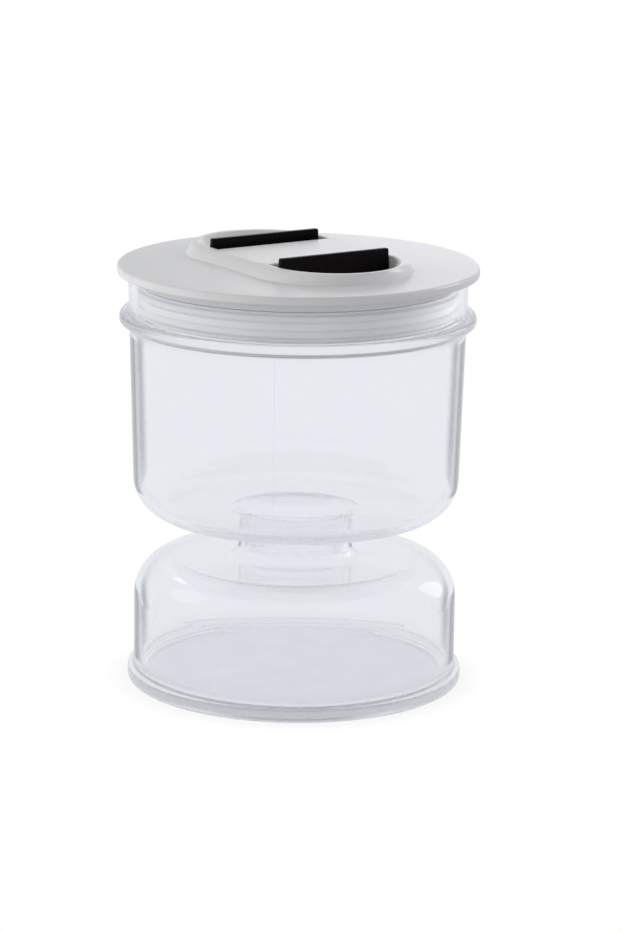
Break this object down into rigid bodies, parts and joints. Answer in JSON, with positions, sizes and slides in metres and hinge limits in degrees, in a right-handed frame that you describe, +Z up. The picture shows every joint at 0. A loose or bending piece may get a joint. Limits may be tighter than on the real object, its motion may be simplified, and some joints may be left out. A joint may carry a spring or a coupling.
{
  "type": "pickle jar",
  "caption": "Clear hourglass jar: upper and lower chamber joined by a neck with a lift-out strainer, closed by a push-in lid whose sprung pinch tabs relax its gasket.",
  "frame": {"origin": "centre of the base, on the surface that the jar stands on", "axes": "+Z up along the jar's axis, X along the lid's grip from tab to tab, Y along the bar across the grip"},
  "size_m": [0.12, 0.12, 0.1484],
  "materials": {
    "clear_plastic": "clear moulded plastic, glossy",
    "strainer_plastic": "clear moulded plastic, slightly milky",
    "white_plastic": "satin white moulded plastic",
    "gasket_silicone": "milky silicone, matte",
    "black_plastic": "glossy black moulded plastic",
    "spring_steel": "bright spring wire"
  },
  "bodies": {
    "jar": {"jar_body": "clear_plastic"},
    "strainer": {"strainer": "strainer_plastic"},
    "lid": {"lid_top": "white_plastic", "lid_base": "white_plastic", "gasket": "gasket_silicone", "spring_near_left": "spring_steel", "spring_near_right": "spring_steel", "spring_far_left": "spring_steel", "spring_far_right": "spring_steel"},
    "tab_near": {"pinch_tab_near": "black_plastic"},
    "tab_far": {"pinch_tab_far": "black_plastic"}
  },
  "joints": [
    {"name": "lid_lift", "type": "slide", "parent": "jar", "child": "lid", "axis": [0, 0, 1], "range_m": [0, 0.06]},
    {"name": "strainer_lift", "type": "slide", "parent": "jar", "child": "strainer", "axis": [0, 0, 1], "range_m": [0, 0.045]},
    {"name": "pinch_near", "type": "slide", "parent": "lid", "child": "tab_near", "axis": [-1, 0, 0], "range_m": [0, 0.0035], "stiffness_N_per_m": 600, "springref_m": -0.002, "deforming": ["spring_near_left", "spring_near_right"]},
    {"name": "pinch_far", "type": "slide", "parent": "lid", "child": "tab_far", "axis": [1, 0, 0], "range_m": [0, 0.0035], "stiffness_N_per_m": 600, "springref_m": -0.002, "deforming": ["spring_far_left", "spring_far_right"]}
  ]
}
